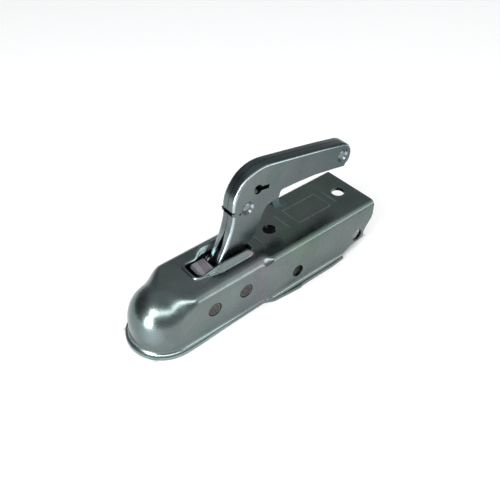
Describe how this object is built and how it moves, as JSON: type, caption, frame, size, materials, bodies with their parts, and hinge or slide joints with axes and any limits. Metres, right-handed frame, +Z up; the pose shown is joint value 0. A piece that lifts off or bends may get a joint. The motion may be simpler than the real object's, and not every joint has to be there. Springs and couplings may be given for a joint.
{
  "type": "trailer coupling",
  "caption": "Pressed steel trailer coupling head for a square drawbar, with a folded two-shell lift handle, spring-loaded clamping jaw and an open ball socket below.",
  "frame": {"origin": "centre of the coupled towing ball", "axes": "+X from the ball towards the drawbar, +Z up, the ball leaves the socket along -Z; +Y is to the left when looking along +X"},
  "size_m": [0.2627, 0.0772, 0.1317],
  "materials": {
    "zinc_sheet": "zinc plated, semi-gloss, faint blue and yellow sheen",
    "zinc_handle": "zinc plated, semi-gloss",
    "raw_steel": "satin",
    "pin_steel": "satin, peened heads",
    "spacer_steel": "satin",
    "forged_steel": "dark zinc plated, satin",
    "plate_zinc": "zinc plated, satin",
    "label_foil": "plain foil with fine cross lines",
    "rivet_zinc": "zinc plated, satin",
    "catch_zinc": "dark zinc plated, satin",
    "spring_steel": "dark oiled wire"
  },
  "bodies": {
    "head": {"housing": "zinc_sheet", "ball_seat": "raw_steel", "seat_weld": "raw_steel", "jaw_pin": "pin_steel", "lever_pin": "pin_steel", "jaw_spacer_near": "spacer_steel", "jaw_spacer_far": "spacer_steel", "lever_spacer_near": "spacer_steel", "lever_spacer_far": "spacer_steel", "spring_near": "spring_steel", "spring_far": "spring_steel"},
    "clamp": {"jaw": "forged_steel", "indicator_plate": "plate_zinc", "indicator_rivet": "plate_zinc", "label": "label_foil"},
    "handle": {"handle_near": "zinc_handle", "handle_far": "zinc_handle", "handle_core": "forged_steel", "core_pin": "rivet_zinc", "grip_pin": "rivet_zinc", "end_pin": "rivet_zinc", "grip_sleeve": "spacer_steel", "end_sleeve": "spacer_steel", "catch_shaft": "spacer_steel"},
    "catch": {"safety_catch": "catch_zinc"}
  },
  "joints": [
    {"name": "lever_hinge", "type": "hinge", "parent": "head", "child": "handle", "pos_m": [0.0684, 0, 0.0095], "axis": [0, -1, 0], "range_deg": [0, 26], "deforming": ["spring_near", "spring_far"]},
    {"name": "jaw_hinge", "type": "hinge", "parent": "head", "child": "clamp", "pos_m": [0.0337, 0, 0.0095], "axis": [0, -1, 0], "range_deg": [0, 9.5]},
    {"name": "catch_hinge", "type": "hinge", "parent": "handle", "child": "catch", "pos_m": [0.1135, 0, 0.083], "axis": [0, -1, 0], "range_deg": [0, 12]}
  ],
  "couplings": [
    {"joint": "jaw_hinge", "follows": "lever_hinge", "ratio": 0.365}
  ]
}
